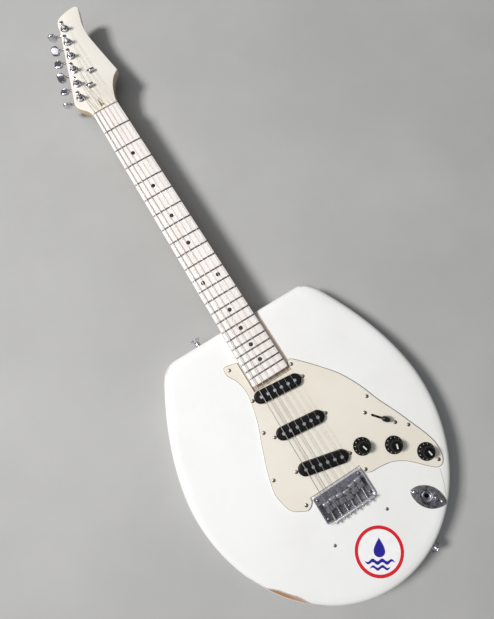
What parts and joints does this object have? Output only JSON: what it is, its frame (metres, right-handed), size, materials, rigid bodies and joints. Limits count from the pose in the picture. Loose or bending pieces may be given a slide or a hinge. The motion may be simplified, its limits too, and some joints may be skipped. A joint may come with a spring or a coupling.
{
  "type": "toilet seat guitar",
  "caption": "Solid-body electric guitar whose body is a domed oval lid on a core slab, with a bolt-on neck, pickguard, bridge, tuners, knobs and switch.",
  "frame": {"origin": "on the flat back of the body, under the neck's centre line, at the lid's widest line", "axes": "+X to the treble side, +Y along the neck to the headstock, +Z out of the playing face"},
  "size_m": [0.372, 0.9895, 0.0626],
  "materials": {
    "enamel_wood": "white gloss enamel over moulded wood",
    "painted_wood": "white painted core wood",
    "maple": "maple, cream lacquer on the headstock",
    "fingerboard": "pale, satin, with steel frets",
    "bone": "bone white, satin",
    "cream_plastic": "aged cream, satin",
    "black_plastic": "black, glossy",
    "chrome": "plated, lightly worn",
    "steel": "plain steel",
    "copper": "lacquered copper winding"
  },
  "bodies": {
    "guitar": {"body_core": "painted_wood", "bridge_tray": "chrome", "fingerboard": "fingerboard", "jack_plate": "chrome", "jack_socket": "chrome", "neck": "maple", "neck_plate": "chrome", "nut": "bone", "pickguard": "cream_plastic", "pickup_coil_bridge": "copper", "pickup_coil_middle": "copper", "pickup_coil_neck": "copper", "pickup_cover_bridge": "black_plastic", "pickup_cover_middle": "black_plastic", "pickup_cover_neck": "black_plastic", "pot_tone_1": "steel", "pot_tone_2": "steel", "pot_volume": "steel", "selector_switch": "steel", "strap_button_lower": "chrome", "strap_button_upper": "chrome", "string_1": "steel", "string_2": "steel", "string_3": "steel", "string_4": "steel", "string_5": "steel", "string_6": "steel", "string_tree_1": "chrome", "string_tree_2": "chrome", "toilet_lid": "enamel_wood", "truss_rod": "steel", "tuner_housing_1": "chrome", "tuner_housing_2": "chrome", "tuner_housing_3": "chrome", "tuner_housing_4": "chrome", "tuner_housing_5": "chrome", "tuner_housing_6": "chrome"},
    "tuning_post_1": {"tuner_post_1": "chrome"},
    "tuning_key_1": {"tuner_key_1": "chrome"},
    "saddle_1_block": {"saddle_1": "chrome"},
    "tuning_post_2": {"tuner_post_2": "chrome"},
    "tuning_key_2": {"tuner_key_2": "chrome"},
    "saddle_2_block": {"saddle_2": "chrome"},
    "tuning_post_3": {"tuner_post_3": "chrome"},
    "tuning_key_3": {"tuner_key_3": "chrome"},
    "saddle_3_block": {"saddle_3": "chrome"},
    "tuning_post_4": {"tuner_post_4": "chrome"},
    "tuning_key_4": {"tuner_key_4": "chrome"},
    "saddle_4_block": {"saddle_4": "chrome"},
    "tuning_post_5": {"tuner_post_5": "chrome"},
    "tuning_key_5": {"tuner_key_5": "chrome"},
    "saddle_5_block": {"saddle_5": "chrome"},
    "tuning_post_6": {"tuner_post_6": "chrome"},
    "tuning_key_6": {"tuner_key_6": "chrome"},
    "saddle_6_block": {"saddle_6": "chrome"},
    "volume_knob": {"knob_volume": "black_plastic"},
    "tone_1_knob": {"knob_tone_1": "black_plastic"},
    "tone_2_knob": {"knob_tone_2": "black_plastic"},
    "pickup_switch": {"switch_lever": "steel", "switch_tip": "black_plastic"}
  },
  "joints": [
    {"name": "tuning_key_1_turn", "type": "hinge", "parent": "guitar", "child": "tuning_key_1", "pos_m": [-0.02218, 0.63361, 0.0266], "axis": [-0.9588, 0.284, 0], "continuous": true},
    {"name": "tuning_post_1_turn", "type": "hinge", "parent": "guitar", "child": "tuning_post_1", "pos_m": [-0.0242, 0.6268, 0.0465], "axis": [0, 0, 1], "continuous": true},
    {"name": "tuning_key_2_turn", "type": "hinge", "parent": "guitar", "child": "tuning_key_2", "pos_m": [-0.01508, 0.65758, 0.0266], "axis": [-0.9588, 0.284, 0], "continuous": true},
    {"name": "tuning_post_2_turn", "type": "hinge", "parent": "guitar", "child": "tuning_post_2", "pos_m": [-0.0171, 0.65077, 0.0465], "axis": [0, 0, 1], "continuous": true},
    {"name": "tuning_key_3_turn", "type": "hinge", "parent": "guitar", "child": "tuning_key_3", "pos_m": [-0.00798, 0.68155, 0.0266], "axis": [-0.9588, 0.284, 0], "continuous": true},
    {"name": "tuning_post_3_turn", "type": "hinge", "parent": "guitar", "child": "tuning_post_3", "pos_m": [-0.01, 0.67474, 0.0465], "axis": [0, 0, 1], "continuous": true},
    {"name": "tuning_key_4_turn", "type": "hinge", "parent": "guitar", "child": "tuning_key_4", "pos_m": [-0.00088, 0.70552, 0.0266], "axis": [-0.9588, 0.284, 0], "continuous": true},
    {"name": "tuning_post_4_turn", "type": "hinge", "parent": "guitar", "child": "tuning_post_4", "pos_m": [-0.0029, 0.69871, 0.0465], "axis": [0, 0, 1], "continuous": true},
    {"name": "tuning_key_5_turn", "type": "hinge", "parent": "guitar", "child": "tuning_key_5", "pos_m": [0.00622, 0.72949, 0.0266], "axis": [-0.9588, 0.284, 0], "continuous": true},
    {"name": "tuning_post_5_turn", "type": "hinge", "parent": "guitar", "child": "tuning_post_5", "pos_m": [0.0042, 0.72268, 0.0465], "axis": [0, 0, 1], "continuous": true},
    {"name": "tuning_key_6_turn", "type": "hinge", "parent": "guitar", "child": "tuning_key_6", "pos_m": [0.01332, 0.75346, 0.0266], "axis": [-0.9588, 0.284, 0], "continuous": true},
    {"name": "tuning_post_6_turn", "type": "hinge", "parent": "guitar", "child": "tuning_post_6", "pos_m": [0.0113, 0.74665, 0.0465], "axis": [0, 0, 1], "continuous": true},
    {"name": "saddle_1_slide", "type": "slide", "parent": "guitar", "child": "saddle_1_block", "axis": [0, 1, 0], "range_m": [-0.003, 0.004]},
    {"name": "saddle_2_slide", "type": "slide", "parent": "guitar", "child": "saddle_2_block", "axis": [0, 1, 0], "range_m": [-0.003, 0.004]},
    {"name": "saddle_3_slide", "type": "slide", "parent": "guitar", "child": "saddle_3_block", "axis": [0, 1, 0], "range_m": [-0.003, 0.004]},
    {"name": "saddle_4_slide", "type": "slide", "parent": "guitar", "child": "saddle_4_block", "axis": [0, 1, 0], "range_m": [-0.003, 0.004]},
    {"name": "saddle_5_slide", "type": "slide", "parent": "guitar", "child": "saddle_5_block", "axis": [0, 1, 0], "range_m": [-0.003, 0.004]},
    {"name": "saddle_6_slide", "type": "slide", "parent": "guitar", "child": "saddle_6_block", "axis": [0, 1, 0], "range_m": [-0.003, 0.004]},
    {"name": "volume_turn", "type": "hinge", "parent": "guitar", "child": "volume_knob", "pos_m": [0.057, -0.0373, 0.0476], "axis": [0, 0, 1], "range_deg": [-140, 140]},
    {"name": "tone_1_turn", "type": "hinge", "parent": "guitar", "child": "tone_1_knob", "pos_m": [0.0954, -0.0587, 0.0476], "axis": [0, 0, 1], "range_deg": [-140, 140]},
    {"name": "tone_2_turn", "type": "hinge", "parent": "guitar", "child": "tone_2_knob", "pos_m": [0.1283, -0.0891, 0.0476], "axis": [0, 0, 1], "range_deg": [-140, 140]},
    {"name": "switch_throw", "type": "hinge", "parent": "guitar", "child": "pickup_switch", "pos_m": [0.1001, -0.0183, 0.0238], "axis": [0.7513, 0.66, 0], "range_deg": [-33, 11]}
  ],
  "couplings": [
    {"joint": "tuning_post_1_turn", "follows": "tuning_key_1_turn", "ratio": 0.071429},
    {"joint": "tuning_post_2_turn", "follows": "tuning_key_2_turn", "ratio": 0.071429},
    {"joint": "tuning_post_3_turn", "follows": "tuning_key_3_turn", "ratio": 0.071429},
    {"joint": "tuning_post_4_turn", "follows": "tuning_key_4_turn", "ratio": 0.071429},
    {"joint": "tuning_post_5_turn", "follows": "tuning_key_5_turn", "ratio": 0.071429},
    {"joint": "tuning_post_6_turn", "follows": "tuning_key_6_turn", "ratio": 0.071429}
  ]
}
